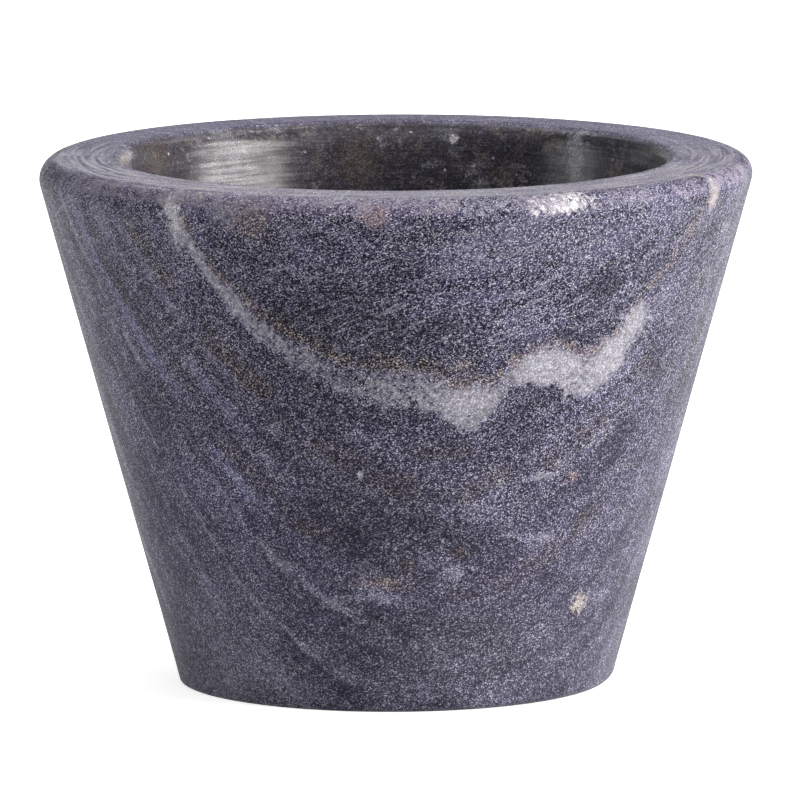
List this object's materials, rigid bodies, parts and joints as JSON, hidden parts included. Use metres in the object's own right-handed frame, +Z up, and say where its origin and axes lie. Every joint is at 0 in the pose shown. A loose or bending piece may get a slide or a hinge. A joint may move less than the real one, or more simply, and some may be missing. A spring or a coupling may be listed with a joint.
{
  "type": "salt cellar",
  "caption": "Small open stone cup for table salt: a flaring cone with a broad flat rim, a rolled outer edge and a rounded bowl, standing on its narrow end.",
  "frame": {"origin": "middle of the underside, on the surface that the cup stands on", "axes": "+Z up along the axis of turning; -Y is the side that the picture shows"},
  "size_m": [0.076, 0.076, 0.0562],
  "materials": {
    "marble": "honed dark grey marble with pale veins and a fine crystalline grain; the bowl is smoother and a little glossier"
  },
  "bodies": {
    "root": {"cup": "marble"}
  },
  "joints": []
}
